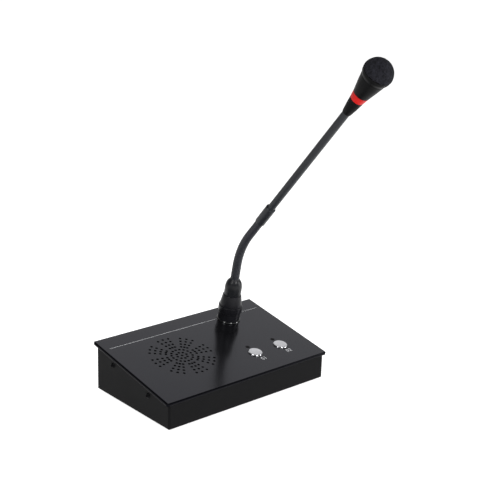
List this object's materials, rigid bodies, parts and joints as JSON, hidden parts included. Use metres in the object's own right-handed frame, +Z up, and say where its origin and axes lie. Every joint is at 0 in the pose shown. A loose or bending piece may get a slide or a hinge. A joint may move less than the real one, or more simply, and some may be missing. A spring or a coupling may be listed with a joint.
{
  "type": "desk paging microphone",
  "caption": "Wedge-shaped sheet-metal paging console with a round loudspeaker grille, push buttons and a plug-in gooseneck microphone with a red light ring.",
  "frame": {"origin": "on the desk under the middle of the console, on the plane of the feet's bottoms", "axes": "+X to the right facing the buttons, +Y to the back where the jacks are, +Z up"},
  "size_m": [0.2, 0.2223, 0.339],
  "materials": {
    "black_paint": "fine textured satin powder coat",
    "panel_paint": "smooth satin powder coat",
    "neck_metal": "satin black",
    "black_steel": "black oxide",
    "rubber": "matt",
    "black_plastic": "matt",
    "smoked_lens": "gloss",
    "red_diffuser": "translucent satin",
    "bright_chrome": "satin chrome",
    "gloss_black": "polished",
    "zinc_steel": "bright zinc",
    "ferrite": "sintered",
    "brass_pin": "turned",
    "circuit_board": "solder resist",
    "paper": "pressed paper pulp",
    "foam": "open-cell foam"
  },
  "bodies": {
    "console": {"base_tray": "black_paint", "rubber_feet": "rubber", "top_panel": "panel_paint", "cover_rails": "black_paint", "cover_screws": "black_steel", "grille_cloth": "paper", "speaker_gasket": "rubber", "speaker_frame": "zinc_steel", "speaker_studs": "zinc_steel", "speaker_nuts": "zinc_steel", "speaker_surround": "rubber", "speaker_cone": "paper", "speaker_dust_cap": "rubber", "voice_coil": "brass_pin", "speaker_top_plate": "zinc_steel", "speaker_magnet": "ferrite", "speaker_yoke": "zinc_steel", "key_board": "circuit_board", "key_pillars": "zinc_steel", "key_screws": "zinc_steel", "key_switches": "black_plastic", "status_lamps": "smoked_lens", "main_board": "circuit_board", "board_pillars": "zinc_steel", "board_screws": "zinc_steel", "board_parts": "black_plastic", "network_jack": "black_plastic", "power_jack": "black_plastic", "socket_shell": "neck_metal", "socket_bead": "gloss_black", "socket_nut": "zinc_steel", "socket_insert": "black_plastic", "socket_contacts": "brass_pin"},
    "left_key": {"button_left": "bright_chrome", "plunger_left": "black_plastic"},
    "right_key": {"button_right": "bright_chrome", "plunger_right": "black_plastic"},
    "mic_plug": {"lock_ring": "neck_metal", "plug_shell": "neck_metal", "plug_insert": "black_plastic", "plug_pins": "brass_pin", "plug_boot": "rubber", "neck_foot_ball": "neck_metal"},
    "neck_1": {"neck_link_1": "neck_metal"},
    "neck_2": {"neck_link_2": "neck_metal"},
    "neck_3": {"neck_link_3": "neck_metal"},
    "neck_4": {"neck_link_4": "neck_metal"},
    "neck_5": {"neck_link_5": "neck_metal"},
    "neck_6": {"neck_link_6": "neck_metal"},
    "neck_7": {"neck_link_7": "neck_metal"},
    "mic_head": {"neck_ferrule": "neck_metal", "upper_tube": "neck_metal", "head_collar": "neck_metal", "light_ring": "red_diffuser", "lamp_ring_board": "circuit_board", "head_body": "neck_metal", "head_trim": "neck_metal", "foam_windscreen": "foam", "capsule_holder": "rubber", "mic_capsule": "zinc_steel"}
  },
  "joints": [
    {"name": "left_press", "type": "slide", "parent": "console", "child": "left_key", "axis": [0, 0.1822, -0.9833], "range_m": [0, 0.0012], "stiffness_N_per_m": 800, "springref_m": -0.0015},
    {"name": "right_press", "type": "slide", "parent": "console", "child": "right_key", "axis": [0, 0.1822, -0.9833], "range_m": [0, 0.0012], "stiffness_N_per_m": 800, "springref_m": -0.0015},
    {"name": "mic_unplug", "type": "slide", "parent": "console", "child": "mic_plug", "axis": [0, -0.1822, 0.9833], "range_m": [0, 0.03]},
    {"name": "neck_pitch_1", "type": "hinge", "parent": "mic_plug", "child": "neck_1", "pos_m": [0.0508, 0.02663, 0.09834], "axis": [1, 0, 0], "range_deg": [-15, 12]},
    {"name": "neck_sway_1", "type": "hinge", "parent": "neck_1", "child": "neck_2", "pos_m": [0.0508, 0.02474, 0.10847], "axis": [0, 0.9803, 0.1974], "range_deg": [-11, 11]},
    {"name": "neck_pitch_2", "type": "hinge", "parent": "neck_2", "child": "neck_3", "pos_m": [0.0508, 0.02204, 0.1184], "axis": [1, 0, 0], "range_deg": [-15, 12]},
    {"name": "neck_sway_2", "type": "hinge", "parent": "neck_3", "child": "neck_4", "pos_m": [0.0508, 0.01805, 0.12789], "axis": [0, 0.894, 0.448], "range_deg": [-11, 11]},
    {"name": "neck_pitch_3", "type": "hinge", "parent": "neck_4", "child": "neck_5", "pos_m": [0.0508, 0.01284, 0.13676], "axis": [1, 0, 0], "range_deg": [-15, 12]},
    {"name": "neck_sway_3", "type": "hinge", "parent": "neck_5", "child": "neck_6", "pos_m": [0.0508, 0.00651, 0.14488], "axis": [0, 0.7581, 0.6521], "range_deg": [-11, 11]},
    {"name": "neck_pitch_4", "type": "hinge", "parent": "neck_6", "child": "neck_7", "pos_m": [0.0508, -0.0002, 0.15269], "axis": [1, 0, 0], "range_deg": [-15, 12]},
    {"name": "neck_sway_4", "type": "hinge", "parent": "neck_7", "child": "mic_head", "pos_m": [0.0508, -0.00692, 0.1605], "axis": [0, 0.7581, 0.6521], "range_deg": [-11, 11]}
  ],
  "couplings": [
    {"joint": "neck_pitch_2", "follows": "neck_pitch_1", "ratio": 1},
    {"joint": "neck_sway_2", "follows": "neck_sway_1", "ratio": 1},
    {"joint": "neck_pitch_3", "follows": "neck_pitch_1", "ratio": 1},
    {"joint": "neck_sway_3", "follows": "neck_sway_1", "ratio": 1},
    {"joint": "neck_pitch_4", "follows": "neck_pitch_1", "ratio": 1},
    {"joint": "neck_sway_4", "follows": "neck_sway_1", "ratio": 1}
  ]
}
